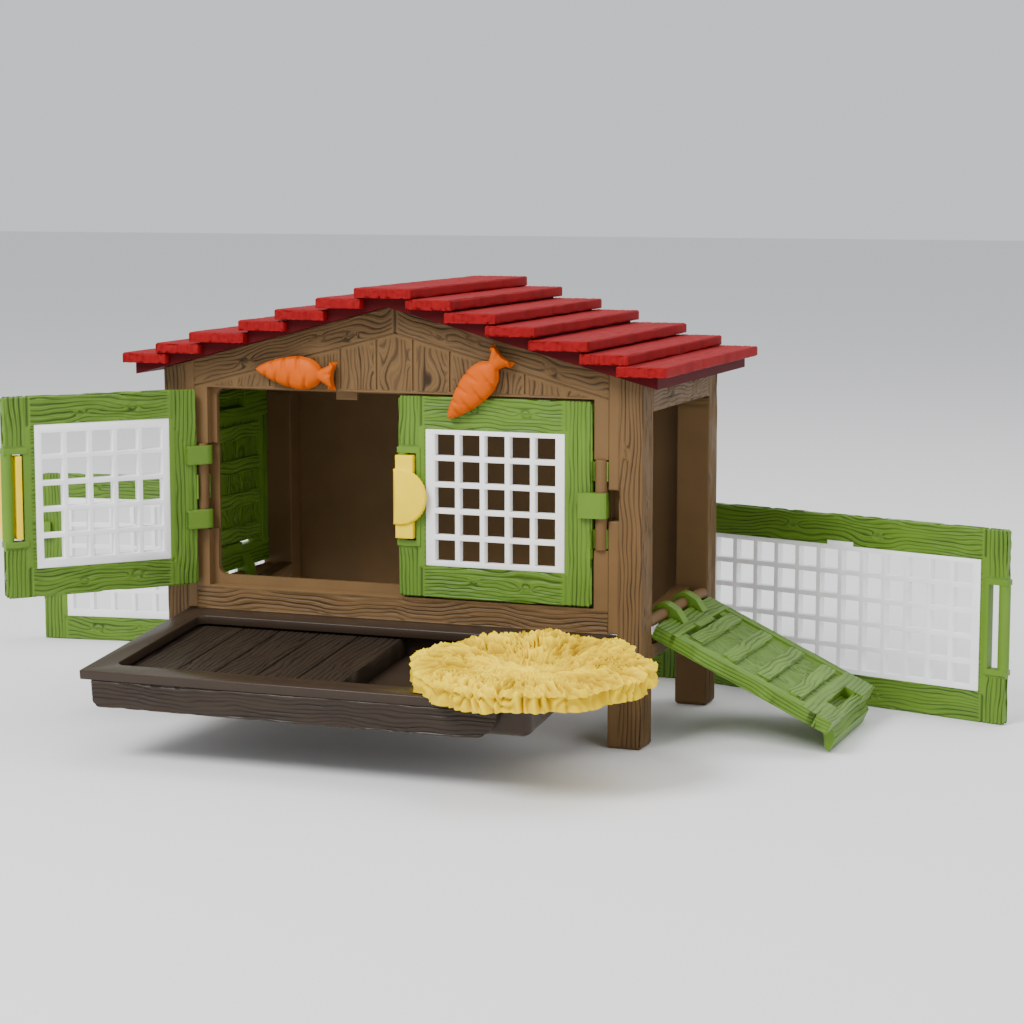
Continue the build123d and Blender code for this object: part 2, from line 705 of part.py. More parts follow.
def make_ramp(plane, word):
    """A framed board with a hand slot, a turned-down foot and two hinge hooks."""
    bar_u = RAMP_U[1] + 0.1 - HANDLE_BAR_R
    with BuildPart() as board:
        add(slab(plane, (RAMP_U[0], -RAMP_HALF_W, RAMP_W[0]), (RAMP_U[1], RAMP_HALF_W, RAMP_W[1])))
        field = ((RAMP_FIELD_U[0], -RAMP_FIELD_HALF_W), (RAMP_FIELD_U[1], RAMP_FIELD_HALF_W))
        add(slab(plane, (*field[0], RAMP_FIELD_W), (*field[1], 9)), mode=Mode.SUBTRACT)
        add(slab(plane, (*field[0], -9), (*field[1], RAMP_UNDER_W)), mode=Mode.SUBTRACT)
        hand = (HANDLE_U[0], -HANDLE_HALF_W, HANDLE_FLOOR_W)
        add(slab(plane, hand, (RAMP_U[1] + 1, HANDLE_HALF_W, 9)), mode=Mode.SUBTRACT)
        for v0, v1 in (TOP_SLOT_V, (-TOP_SLOT_V[1], -TOP_SLOT_V[0])):
            add(slab(plane, (TOP_SLOT_U[0], v0, -9), (TOP_SLOT_U[1], v1, 9)), mode=Mode.SUBTRACT)
        tab = (TOP_TAB[0], -TOP_SLOT_V[0], RAMP_FIELD_W - 0.3)
        add(slab(plane, tab, (TOP_TAB[1], TOP_SLOT_V[0], TOP_TAB[2])))
        with BuildSketch(across(plane)):
            with Locations((bar_u, sum(RAMP_W) / 2)):
                Circle(HANDLE_BAR_R)
        extrude(amount=HANDLE_HALF_W + 1, both=True)
        # turned-down foot under the end
        with BuildSketch(across(plane)):
            with BuildLine():
                Polyline(
                    (HANDLE_U[1] + 0.4, RAMP_W[0] + 1.6),
                    (RAMP_U[1] - 0.2, RAMP_W[0] + 1.0),
                    (RAMP_U[1] + 2.3, RAMP_W[0] - 1.8),
                    (RAMP_U[1] + 2.4, RAMP_W[0] - 6.3),
                    (RAMP_U[1] + 1.0, RAMP_W[0] - 6.4),
                    (RAMP_U[1] - 1.4, RAMP_W[0] - 2.6),
                    (HANDLE_U[1] + 0.4, RAMP_W[0] - 0.6),
                    close=True,
                )
            make_face()
        extrude(amount=LIP_HALF_W, both=True)
        for v_side in (-1, 1):
            add(hook(plane, v_side * HOOK_V))
    write(board.part, f"ramp_board_{word}")

    with BuildPart() as cleats:
        with BuildSketch(plane.offset(RAMP_FIELD_W)):
            for index in range(CLEATS):
                with Locations((CLEAT_FIRST_U + index * CLEAT_PITCH, 0)):
                    RectangleRounded(CLEAT_SIZE[0], CLEAT_SIZE[1], 1.5)
        extrude(amount=CLEAT_TOP - RAMP_FIELD_W)
    write(cleats.part, f"ramp_cleats_{word}")


slope = radians(RAMP_SLOPE)
RAMP_RIGHT = Plane(
    origin=(RAMP_HINGE[0], RAMP_MID_Y, RAMP_HINGE[1]),
    x_dir=(cos(slope), 0, -sin(slope)),
    z_dir=(sin(slope), 0, cos(slope)),
)
RAMP_LEFT = Plane(
    origin=(-RAMP_HINGE[0], RAMP_MID_Y, RAMP_HINGE[1]), x_dir=(0, 0, 1), z_dir=(1, 0, 0)
)
make_ramp(RAMP_RIGHT, "right")
make_ramp(RAMP_LEFT, "left")

# ================= tray =================

basin_mid_y = sum(BASIN_Y) / 2
basin_d = BASIN_Y[1] - BASIN_Y[0]
with BuildPart() as tray_basin:
    add(slab(TRAY_PLANE, (-TRAY_HALF_W, -TRAY_D, -RIM_T), (TRAY_HALF_W, RIM_LIP, 0)))
    with BuildSketch(TRAY_PLANE.offset(-RIM_T)):
        with Locations((0, basin_mid_y)):
            RectangleRounded(2 * BASIN_HALF_W, basin_d, BASIN_CORNER_R)
    extrude(amount=BASIN_BOTTOM + RIM_T)
    under = tray_basin.faces().sort_by(Axis((0, 0, 0), TRAY_PLANE.z_dir))[0]
    fillet(under.edges(), BASIN_BOTTOM_R)
    with BuildSketch(TRAY_PLANE.offset(-RIM_T)):
        with Locations((0, basin_mid_y)):
            Rectangle(2 * (BASIN_HALF_W - BASIN_WALL), basin_d - 2 * BASIN_WALL)
    extrude(amount=BASIN_BOTTOM + RIM_T + BASIN_WALL, mode=Mode.SUBTRACT)
    with BuildSketch(TRAY_PLANE.offset(1)):
        with Locations((0, -TRAY_D / 2)):
            RectangleRounded(2 * (TRAY_HALF_W - RIM_W), TRAY_D - 2 * RIM_W, BASIN_CORNER_R)
    extrude(amount=-RIM_T - 2, mode=Mode.SUBTRACT)
write(tray_basin.part, "tray_basin")

with BuildPart() as tray_deck:
    left = -BASIN_HALF_W + BASIN_WALL
    y0 = BASIN_Y[0] + BASIN_WALL
    y1 = BASIN_Y[1] - BASIN_WALL
    floor_w = BASIN_BOTTOM + BASIN_WALL
    add(slab(TRAY_PLANE, (left, y0, floor_w), (DECK_RIGHT, y1, DECK_TOP)))
    add(
        slab(
            TRAY_PLANE,
            (left + DECK_T, y0 - 1, floor_w - 1),
            (DECK_RIGHT - DECK_T, y1 + 1, DECK_TOP - DECK_T),
        ),
        mode=Mode.SUBTRACT,
    )
    for x in DECK_GAPS:
        add(
            slab(TRAY_PLANE, (x - GROOVE_W / 2, y0 - 1, DECK_TOP - 0.8), (x + GROOVE_W / 2, y1 + 1, 0)),
            mode=Mode.SUBTRACT,
        )
write(tray_deck.part, "tray_deck")

with BuildPart() as tray_front_board:
    with BuildSketch(across(TRAY_PLANE, v=-TRAY_D)):
        with Locations((sum(FRONT_BOARD_X) / 2, (BASIN_BOTTOM - RIM_T) / 2)):
            Rectangle(FRONT_BOARD_X[1] - FRONT_BOARD_X[0], -RIM_T - BASIN_BOTTOM)
        fillet(vertices().group_by(Axis.Y)[0].sort_by(Axis.X)[0], FRONT_BOARD_CORNER_R[0])
        fillet(vertices().group_by(Axis.Y)[0].sort_by(Axis.X)[-1], FRONT_BOARD_CORNER_R[1])
    extrude(amount=-(BASIN_Y[0] + TRAY_D))
write(tray_front_board.part, "tray_front_board")

with BuildPart() as straw_mat:
    with BuildSketch(TRAY_PLANE.offset(STRAW_W[0])):
        with BuildLine():
            outline = []
            for index in range(2 * STRAW_LOBES):
                a = index * pi / STRAW_LOBES
                reach = 1 + STRAW_WAVE * (-1) ** index
                outline.append(
                    (
                        STRAW_MID[0] + STRAW_HALF[0] * reach * cos(a),
                        STRAW_MID[1] + STRAW_HALF[1] * reach * sin(a),
                    )
                )
            Spline(*outline, periodic=True)
        make_face()
    extrude(amount=STRAW_W[1] - STRAW_W[0])
    with BuildSketch(TRAY_PLANE.offset(STRAW_BED)):
        with Locations(STRAW_MID):
            Ellipse(STRAW_RING * STRAW_HALF[0], STRAW_RING * STRAW_HALF[1])
    extrude(amount=STRAW_W[1], mode=Mode.SUBTRACT)
write(straw_mat.part, "straw_mat")
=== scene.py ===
import bpy
import bmesh
import json
from math import ceil, cos, exp, floor, hypot, pi, radians, sin
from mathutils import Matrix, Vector, noise

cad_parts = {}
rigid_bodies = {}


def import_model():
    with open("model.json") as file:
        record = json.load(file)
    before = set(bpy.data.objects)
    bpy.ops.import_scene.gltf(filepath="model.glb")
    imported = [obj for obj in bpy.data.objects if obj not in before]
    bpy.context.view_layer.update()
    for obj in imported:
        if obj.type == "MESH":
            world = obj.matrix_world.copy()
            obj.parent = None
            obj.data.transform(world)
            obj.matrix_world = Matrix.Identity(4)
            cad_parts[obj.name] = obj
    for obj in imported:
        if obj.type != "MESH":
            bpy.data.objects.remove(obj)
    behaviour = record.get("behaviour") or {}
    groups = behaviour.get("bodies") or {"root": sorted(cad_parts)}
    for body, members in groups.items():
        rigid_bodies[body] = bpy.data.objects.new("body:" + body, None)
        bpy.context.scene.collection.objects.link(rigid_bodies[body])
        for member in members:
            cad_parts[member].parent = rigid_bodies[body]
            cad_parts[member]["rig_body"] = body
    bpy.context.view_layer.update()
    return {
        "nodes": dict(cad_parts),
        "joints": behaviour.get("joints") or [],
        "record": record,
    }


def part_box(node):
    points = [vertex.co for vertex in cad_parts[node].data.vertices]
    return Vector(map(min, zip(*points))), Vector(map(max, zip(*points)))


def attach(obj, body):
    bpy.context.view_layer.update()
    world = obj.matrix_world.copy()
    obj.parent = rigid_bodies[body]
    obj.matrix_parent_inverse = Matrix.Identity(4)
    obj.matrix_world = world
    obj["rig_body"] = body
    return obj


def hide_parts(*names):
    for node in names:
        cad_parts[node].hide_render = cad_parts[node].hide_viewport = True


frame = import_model()
MM = 0.001
JOINTS = {joint["name"]: joint for joint in frame["joints"]}

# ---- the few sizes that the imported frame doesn't say, in millimetres ----
ROD_FROM_HINGE = {"short": 65.45, "long": 123.55}
GRID_MARGIN = 11.4
RUN_LEFT_YAW = 8.7
RUN_RIGHT_YAW = -17.1
RAMP_SLOPE = 25.2
ROOF_SLOPE = 0.262
APEX_Z = 135.1
BARGE_W = 8.8
POST_INNER_X = 70.5
DOORWAY_Z = (43.4, 107.9)
LINTEL_Z = 100
RAIL_TOP_Z = 42
CHANNEL_Z = 30
FRONT_POST_Y = 10.5
REAR_POST_Y = 71
PLANK_PITCH = 12.4
DECK_PLANK = 13
RAMP_HEAD_U = 10.4
RAMP_FOOT_U = 54.5
RAMP_HOOK = (7.4, 0.6)
RAMP_BORDER_V = 24.9
RAMP_SIDE_V = 26
CARROT_BACK_Y = -1.4
CARROT_DIP = {"left": -3.7, "right": 48.0}


# ================= local frames =================


class Local:
    """A right-handed local frame, in millimetres."""

    def __init__(self, origin, x_axis, z_axis):
        z = Vector(z_axis).normalized()
        x = Vector(x_axis).normalized()
        self.origin = Vector(origin)
        self.axes = (x, z.cross(x), z)

    def into(self, p):
        d = p - self.origin
        return Vector([d.dot(axis) for axis in self.axes])

    def out(self, q):
        x, y, z = self.axes
        return self.origin + x * q[0] + y * q[1] + z * q[2]

    def turn(self, d):
        x, y, z = self.axes
        return x * d[0] + y * d[1] + z * d[2]


def joint_mm(name):
    return Vector(JOINTS[name]["pos_m"]) / MM


def panel_local(hinge, yaw, outward):
    a = radians(yaw)
    return Local(hinge, (cos(a), sin(a), 0), (outward * sin(a), -outward * cos(a), 0))


WORLD = Local((0, 0, 0), (1, 0, 0), (0, 0, 1))
LEFT_DOOR_OPEN = -JOINTS["door_left_hinge"]["range_deg"][0]
run_left = joint_mm("fence_1_hinge")
run_yaw = radians(RUN_LEFT_YAW)
short_rod = ROD_FROM_HINGE["short"]
PANELS = {
    "door_right": (panel_local(joint_mm("door_right_hinge"), 180, -1), "short"),
    "door_left": (panel_local(joint_mm("door_left_hinge"), -LEFT_DOOR_OPEN, 1), "short"),
    "fence_1": (
        panel_local(
            run_left - Vector((short_rod * cos(run_yaw), short_rod * sin(run_yaw), 0)),
            RUN_LEFT_YAW,
            -1,
        ),
        "short",
    ),
    "fence_2": (panel_local(run_left, 0, -1), "long"),
    "fence_3": (panel_local(joint_mm("fence_3_hinge"), 0, -1), "short"),
    "fence_4": (panel_local(joint_mm("fence_4_hinge"), RUN_RIGHT_YAW, 1), "long"),
}
slope = radians(RAMP_SLOPE)
RAMPS = {
    "right": Local(joint_mm("ramp_right_hinge"), (cos(slope), 0, -sin(slope)), (sin(slope), 0, cos(slope))),
    "left": Local(joint_mm("ramp_left_hinge"), (0, 0, 1), (1, 0, 0)),
}
slide = Vector(JOINTS["tray_slide"]["axis"])
tray_low, tray_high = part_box("tray_basin")
TRAY = Local(
    (0, tray_high.y / MM, tray_high.z / MM), (1, 0, 0), (0, -slide.z, slide.y)
)


# ================= wood relief =================


def soft(x, low, high):
    """0 below low, 1 above high, smooth between."""
    t = min(1.0, max(0.0, (x - low) / (high - low)))
    return t * t * (3 - 2 * t)


def noisy(x, y, z):
    return noise.noise(Vector((x, y, z)))


LINE_SHARPNESS = 3


def ridge(phase):
    """1 in the middle of a grain line, 0 between two lines."""
    return (0.5 + 0.5 * cos(2 * pi * phase)) ** LINE_SHARPNESS


def wood(along, across, seed, pitch=1.7, wander=1.0, knots=()):
    """The place among the grain lines, counted in lines, and how deep they are there."""
    warp = 3.0 * wander * noisy(along * 0.045, across * 0.09, seed)
    warp += 1.0 * wander * noisy(along * 0.12, across * 0.25, seed + 7)
    for knot_along, knot_across, size in knots:
        d = hypot((along - knot_along) * 0.42, across - knot_across) / size
        warp += 2.6 * size * exp(-d * d) * (1 if across > knot_across else -1)
    strength = 0.72 + 0.75 * noisy(along * 0.05, across * 0.45, seed + 3)
    return (across + warp) / pitch, min(1.0, max(0.0, strength))


def groove(distance, half_width):
    """A thin joint line: 1 in its middle, 0 outside."""
    return max(0.0, 1 - abs(distance) / half_width)


def fade(distance):
    """Keeps the grain lines off the border between two boards."""
    return soft(abs(distance), 0.7, 1.5)


PLAIN = (0.0, 0.0, 0.0, 0.0, 0.0)


def grained(grain, deep=0.4, keep=1.0, dark=0.0, extra=0.0):
    """One point's relief: extra depth, depth of the lines, line count, strength, joint."""
    phase, strength = grain
    return extra, deep, phase, strength * keep, dark


def wear_and_shade(extra, dark):
    """One point's relief where there is no grain: worn-in depth and a darkening, which on the roof boards'
    undersides is painted shade.
    """
    return extra, 0.0, 0.0, 0.0, dark


# ================= meshes =================

STEP_SCALE = 1.0


def bmesh_of(node, bevel, segments=2, angle=35):
    """The CAD node's mesh with its flat facets joined and its edges rounded."""
    bm = bmesh.new()
    bm.from_mesh(frame["nodes"][node].data)
    bmesh.ops.remove_doubles(bm, verts=bm.verts, dist=1e-6)
    bmesh.ops.dissolve_limit(
        bm, angle_limit=radians(0.4), verts=bm.verts, edges=bm.edges, delimit={"NORMAL"}
    )
    if bevel:
        sharp = [
            e for e in bm.edges
            if len(e.link_faces) == 2 and e.calc_face_angle(0) > radians(angle)
        ]
        bmesh.ops.bevel(
            bm, geom=sharp, offset=bevel * MM, segments=segments, profile=0.5,
            affect="EDGES", clamp_overlap=True,
        )
        bmesh.ops.remove_doubles(bm, verts=bm.verts, dist=5e-6)
    return bm


def slice_up(bm, local, steps):
    """Cuts the faces on a grid of the local frame, so that relief has something to move."""
    for axis, step in enumerate(steps):
        if not step:
            continue
        step *= STEP_SCALE
        places = [local.into(v.co / MM)[axis] for v in bm.verts]
        low, high = min(places), max(places)
        count = int(ceil((high - low) / step))
        for index in range(1, count):
            at = [0.0, 0.0, 0.0]
            at[axis] = low + (high - low) * index / count
            bmesh.ops.bisect_plane(
                bm, geom=bm.verts[:] + bm.edges[:] + bm.faces[:], dist=1e-6,
                plane_co=local.out(at) * MM, plane_no=local.axes[axis],
            )
    bmesh.ops.triangulate(bm, faces=[f for f in bm.faces if len(f.verts) > 4])


def body_of_node(node):
    return frame["nodes"][node]["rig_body"]


def slot_of_node(node):
    for row in frame["record"]["subparts"]:
        if row["node"] == node:
            return row["material_slot"]


def finish_piece(mesh, node, name, sharp=40):
    """Stands a finished mesh in for a CAD node."""
    mesh.shade_smooth()
    mesh.set_sharp_from_angle(angle=radians(sharp))
    slot = slot_of_node(node)
    mesh.materials.append(MATERIALS[slot])
    piece = bpy.data.objects.new(name, mesh)
    bpy.context.scene.collection.objects.link(piece)
    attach(piece, body_of_node(node))
    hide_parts(node)


def finish_bmesh(bm, node, name, sharp=40):
    mesh = bpy.data.meshes.new(name)
    bm.to_mesh(mesh)
    bm.free()
    finish_piece(mesh, node, name, sharp)


def carved(node, local, steps, field, bevel=0.3, sharp=40):
    """A copy of a CAD node with relief; field(p, n) is one point's relief, as in grained."""
    bm = bmesh_of(node, bevel)
    slice_up(bm, local, steps)
    bm.normal_update()
    # the joint layer holds dark joint lines and, from the roof boards' undersides, painted shade
    layers = [bm.verts.layers.float.new(word) for word in ("phase", "grain", "joint")]
    moves = []
    for v in bm.verts:
        p = local.into(v.co / MM)
        n = Vector([v.normal.dot(axis) for axis in local.axes])
        extra, deep, phase, strength, dark = field(p, n)
        for layer, value in zip(layers, (phase, strength, dark)):
            v[layer] = value
        depth = extra + deep * max(strength * ridge(phase), dark)
        moves.append((v, v.co - v.normal * depth * MM))
    for v, place in moves:
        v.co = place
    finish_bmesh(bm, node, node + "_carved", sharp)


def shaped(node, local, steps, place, bevel=0.3, sharp=50):
    """A copy of a CAD node with its points moved: place(p) is the new point."""
    bm = bmesh_of(node, bevel)
    slice_up(bm, local, steps)
    for v in bm.verts:
        v.co = local.out(place(local.into(v.co / MM))) * MM
    finish_bmesh(bm, node, node + "_shaped", sharp)


def softened(node, bevel, segments=3):
    """A copy of a CAD node with rounded edges."""
    bm = bmesh_of(node, bevel, segments)
    bmesh.ops.triangulate(bm, faces=[f for f in bm.faces if len(f.verts) > 4])
    finish_bmesh(bm, node, node + "_soft")


# ================= materials =================


FINE_LINES = 2.7
FINE_SHARE = 0.35


def chain(links, nodes, start, *steps):
    """Math nodes one after another; each step is (operation, value, value...)."""
    for operation, *values in steps:
        node = nodes.new("ShaderNodeMath")
        node.operation = operation
        links.new(start, node.inputs[0])
        for index, value in enumerate(values, 1):
            if isinstance(value, (int, float)):
                node.inputs[index].default_value = value
            else:
                links.new(value, node.inputs[index])
        start = node.outputs[0]
    return start


def plastic(name, light, dark, rough=0.5, bump=0.12, stretch=(1, 1, 1), shine=0.22):
    """Moulded plastic: dark in the grain lines, the joints and the painted shade that the joint attribute
    carries, slightly mottled, fine grain in the bump.
    """
    material = bpy.data.materials.new(name)
    material.use_nodes = True
    nodes = material.node_tree.nodes
    links = material.node_tree.links
    shader = nodes["Principled BSDF"]
    place = nodes.new("ShaderNodeTexCoord")
    scale = nodes.new("ShaderNodeMapping")
    scale.inputs["Scale"].default_value = [s * 1000 for s in stretch]
    links.new(place.outputs["Object"], scale.inputs["Vector"])

    wanted = {}
    for word in ("phase", "grain", "joint"):
        wanted[word] = nodes.new("ShaderNodeAttribute")
        wanted[word].attribute_name = word
    phase, grain, joint = [wanted[word].outputs["Fac"] for word in ("phase", "grain", "joint")]
    coarse = chain(
        links, nodes, phase, ("MULTIPLY", 2 * pi), ("COSINE",), ("MULTIPLY_ADD", 0.5, 0.5),
        ("POWER", float(LINE_SHARPNESS)), ("MULTIPLY", grain),
    )
    thin = chain(
        links, nodes, phase, ("MULTIPLY", 2 * pi * FINE_LINES), ("COSINE",),
        ("MULTIPLY_ADD", 0.5, 0.5), ("POWER", 2.0), ("MULTIPLY", grain), ("MULTIPLY", FINE_SHARE),
    )
    # the joint attribute adds dark joint lines and painted shade (roof board undersides, straw dips and
    # pleats)
    line = chain(links, nodes, coarse, ("MAXIMUM", thin), ("MAXIMUM", joint))

    shade = nodes.new("ShaderNodeMixRGB")
    shade.inputs["Color1"].default_value = (*light, 1)
    shade.inputs["Color2"].default_value = (*dark, 1)
    links.new(line, shade.inputs["Fac"])
    mottle = nodes.new("ShaderNodeTexNoise")
    mottle.inputs["Scale"].default_value = 0.09
    mottle.inputs["Detail"].default_value = 4
    links.new(scale.outputs["Vector"], mottle.inputs["Vector"])
    amount = nodes.new("ShaderNodeMapRange")
    amount.inputs["From Min"].default_value = 0.3
    amount.inputs["From Max"].default_value = 0.7
    amount.inputs["To Min"].default_value = 0.93
    amount.inputs["To Max"].default_value = 1.06
    links.new(mottle.outputs["Fac"], amount.inputs["Value"])
    vary = nodes.new("ShaderNodeHueSaturation")
    links.new(amount.outputs["Result"], vary.inputs["Value"])
    links.new(shade.outputs["Color"], vary.inputs["Color"])
    links.new(vary.outputs["Color"], shader.inputs["Base Color"])

    fine = nodes.new("ShaderNodeTexNoise")
    fine.inputs["Scale"].default_value = 1.6
    fine.inputs["Detail"].default_value = 3
    links.new(scale.outputs["Vector"], fine.inputs["Vector"])
    height = nodes.new("ShaderNodeBump")
    height.inputs["Strength"].default_value = bump
    height.inputs["Distance"].default_value = 0.0002
    links.new(fine.outputs["Fac"], height.inputs["Height"])
    lines = nodes.new("ShaderNodeBump")
    lines.invert = True
    lines.inputs["Strength"].default_value = 0.5
    lines.inputs["Distance"].default_value = 0.0003
    links.new(line, lines.inputs["Height"])
    links.new(height.outputs["Normal"], lines.inputs["Normal"])
    links.new(lines.outputs["Normal"], shader.inputs["Normal"])
    gloss = nodes.new("ShaderNodeMapRange")
    gloss.inputs["To Min"].default_value = max(0.05, rough - 0.07)
    gloss.inputs["To Max"].default_value = rough + 0.07
    links.new(fine.outputs["Fac"], gloss.inputs["Value"])
    links.new(gloss.outputs["Result"], shader.inputs["Roughness"])
    shader.inputs["Specular IOR Level"].default_value = shine
    return material


def linear(r, g, b):
    """An sRGB colour (0..255) in the shader's linear values."""
    out = []
    for c in (r, g, b):
        c /= 255
        out.append(c / 12.92 if c <= 0.04045 else ((c + 0.055) / 1.055) ** 2.4)
    return tuple(out)


MATERIALS = {
    "house_brown": plastic("house_brown", linear(108, 82, 50), linear(46, 32, 17), 0.55),
    "roof_red": plastic(
        "roof_red", linear(134, 18, 22), linear(76, 6, 9), 0.6, 0.25, (3, 0.6, 1), 0.08
    ),
    # roof_dark is the roof red darkened: painted shade for the roof shell's underside beneath the boards
    "roof_dark": plastic("roof_dark", linear(74, 6, 12), linear(40, 2, 5), 0.6, shine=0.1),
    "panel_green": plastic("panel_green", linear(96, 130, 42), linear(44, 68, 18), 0.42),
    "cleat_green": plastic("cleat_green", linear(104, 138, 50), linear(54, 80, 24), 0.45),
    "grille_white": plastic(
        "grille_white", linear(252, 252, 252), linear(210, 210, 210), 0.35, 0.03
    ),
    "latch_yellow": plastic(
        "latch_yellow", linear(255, 220, 0), linear(190, 134, 0), 0.5, 0.03, shine=0.12
    ),
    "carrot_orange": plastic(
        "carrot_orange", linear(198, 86, 0), linear(110, 38, 0), 0.5, 0.06, shine=0.12
    ),
    "tray_brown": plastic("tray_brown", linear(54, 43, 34), linear(24, 18, 13), 0.32, 0.05),
    "deck_brown": plastic("deck_brown", linear(50, 40, 31), linear(20, 15, 11), 0.5, 0.15),
    "straw_yellow": plastic(
        "straw_yellow", linear(255, 222, 0), linear(140, 88, 0), 0.55, 0.04, shine=0.1
    ),
}

for node, piece in frame["nodes"].items():
    piece.data.materials.clear()
    piece.data.materials.append(MATERIALS[slot_of_node(node)])

# ================= house =================

GABLE_KNOTS = [
    (118.5, -6.2, 1.6), (114.0, 18.4, 1.3), (118.0, -31.0, 1.2), (113.5, 31.5, 1.2),
    (120.0, 5.8, 1.5),
]
RAIL_DROP = 0.08
BARGE_KNOTS = [(52, 5.0, 1.1), (26, 3.4, 0.9), (15, 5.6, 1.0)]


def below_roof(p):
    """How far a point lies below the line of the roof's underside."""
    return APEX_Z - ROOF_SLOPE * abs(p[0]) - p[2]


def front_wall_field(p, n):
    """Sloping barge boards, upright gable planks, a plain band and a level rail below."""
    x, y, z = p
    inner_barge = BARGE_W - 0.1
    if n.z < -0.5 and z < RAIL_TOP_Z:
        return grained((0, 0), extra=-RAIL_DROP)
    if n.y > -0.5:
        return PLAIN
    top = below_roof(p)
    keep = fade(top - inner_barge)
    if top < inner_barge:
        grain = wood(abs(x), top, 1 if x > 0 else 2, 1.6, 1.3, BARGE_KNOTS)
        return grained(grain, keep=keep * fade(x), dark=groove(x, 0.5))
    if z > DOORWAY_Z[1] + 0.6:
        plank = floor((x + PLANK_PITCH / 2) / PLANK_PITCH)
        off = (x + PLANK_PITCH / 2) % PLANK_PITCH
        grain = wood(z, x, 20 + plank, 1.5, 1.5, GABLE_KNOTS)
        return grained(grain, keep=keep * fade(min(off, PLANK_PITCH - off)))
    if z < DOORWAY_Z[0] - 0.5:
        return grained(wood(x, z, 5, 1.4, 0.8))
    return PLAIN


carved("front_wall", WORLD, (0.7, None, 0.6), front_wall_field, 0.1)


def side_frame_field(p, n):
    """Upright grain on the posts, level grain on the lintel."""
    x, y, z = p
    seed = 31 if x > 0 else 41
    on_post = y < FRONT_POST_Y or y > REAR_POST_Y
    if n.z < -0.5 and y < FRONT_POST_Y and z > CHANNEL_Z:
        return grained((0, 0), extra=-RAIL_DROP)
    if abs(n.z) > 0.6 or (abs(x) < POST_INNER_X + 3 and on_post):
        return PLAIN
    if on_post:
        frontal = abs(n.y) > 0.7
        knots = [(92, 76 if x > 0 else -76, 0.8), (76, 5, 1.0)]
        turn = seed + (1 if frontal else 2) + (y > 40) * 4
        return grained(wood(z, x if frontal else y, turn, 1.3, 0.45, knots), deep=0.35)
    if z > LINTEL_Z:
        return grained(wood(y, z, seed + 9, 1.5, 1.4, [(30, 110, 1.4), (56, 108, 1.2)]))
    return PLAIN


for word in ("left", "right"):
    carved(f"side_frame_{word}", WORLD, (0.6, 0.6, 1.6), side_frame_field, 0.35)
    softened(f"door_rod_{word}", 0.4)
    softened(f"tray_runner_{word}", 0.3)


def back_wall_field(p, n):
    """Barge boards, upright planks and a level rail on the outside of the back."""
    x, y, z = p
    if n.y < 0.5:
        return PLAIN
    if z < DOORWAY_Z[0]:
        return grained(wood(x, z, 50, 1.5, 0.9), keep=fade(z - DOORWAY_Z[0]))
    top = below_roof(p)
    if top < BARGE_W:
        return grained(wood(abs(x), top, 51 + (x > 0), 1.6, 1.2), keep=fade(top - BARGE_W))
    plank = floor(x / PLANK_PITCH)
    off = x % PLANK_PITCH
    keep = fade(min(off, PLANK_PITCH - off)) * fade(top - BARGE_W) * fade(z - DOORWAY_Z[0])
    knots = [(60 + 22 * (plank % 3), (plank + 0.5) * PLANK_PITCH, 1.5)]
    return grained(wood(z, x, 60 + plank, 1.6, 1.3, knots), keep=keep)


carved("back_wall", WORLD, (0.7, None, 1.2), back_wall_field, 0.2)

# ================= roof =================


def roof_field(seed):
    """Rough-sawn top with lines from front to back, chipped ends, and painted shade on the undersides."""

    def field(p, n):
        x, y, z = p
        rough = noisy(x * 1.9, y * 0.10, seed) + 0.6 * noisy(x * 4.5, y * 0.4, seed + 5)
        line = soft(rough, -0.25, 0.75)
        if n.z > 0.6:
            return wear_and_shade(0.3 * line, 0.45 * line)
        if abs(n.y) > 0.6:
            chip = 0.5 * soft(noisy(x * 0.7, z * 1.4, seed + 9), -0.2, 0.6)
            return wear_and_shade(chip + 0.25 * line, 0.3 * line)
        # painted shade: the boards' undersides get a fixed 0.3 darkening besides their worn-in depth
        if n.z < -0.6:
            return wear_and_shade(0.35 * soft(noisy(x * 1.1, y * 0.35, seed + 2), 0, 0.5), 0.3)
        return wear_and_shade(0.15 * line, 0.3 * line)

    return field


boards = [n for n in frame["nodes"] if n.startswith("roof_board")] + ["ridge_board"]
for index, node in enumerate(sorted(boards)):
    carved(node, WORLD, (0.55, 2.6, 1.1), roof_field(100 + 7 * index), 0.25)

# ================= panels =================


SEAM_HALF_W = 0.4
FREE_STILE = 7.8
PANEL_END = 1.3


